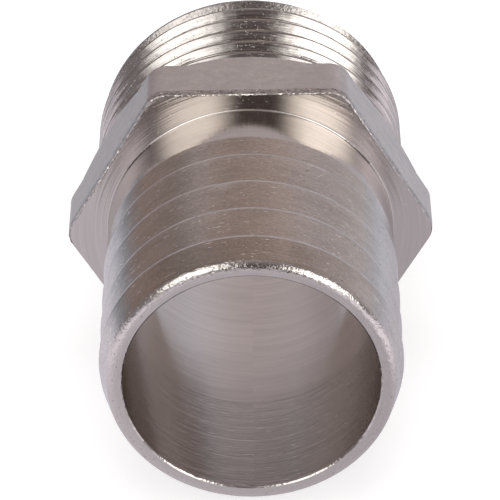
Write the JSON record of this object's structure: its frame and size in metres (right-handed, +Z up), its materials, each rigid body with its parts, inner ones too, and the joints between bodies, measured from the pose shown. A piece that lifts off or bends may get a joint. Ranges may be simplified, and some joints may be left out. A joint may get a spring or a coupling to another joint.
{
  "type": "threaded hose nipple",
  "caption": "Straight pipe fitting: a barbed hose tail, a hexagon for a spanner and an outside pipe thread on one body, with a plain bore right through.",
  "frame": {"origin": "on the surface that the nipple lies on, under the middle of its length and of its hexagon", "axes": "+Y along the bore from the hose tail towards the pipe thread, +Z up from the hexagon flat that it lies on, +X across"},
  "size_m": [0.0386, 0.049, 0.034],
  "materials": {
    "nickel_plated_brass": "nickel plate over turned and hot-pressed brass, from bright on the thread and rim to satin on the barbs and hexagon flats"
  },
  "bodies": {
    "root": {"hose_nipple": "nickel_plated_brass"}
  },
  "joints": []
}
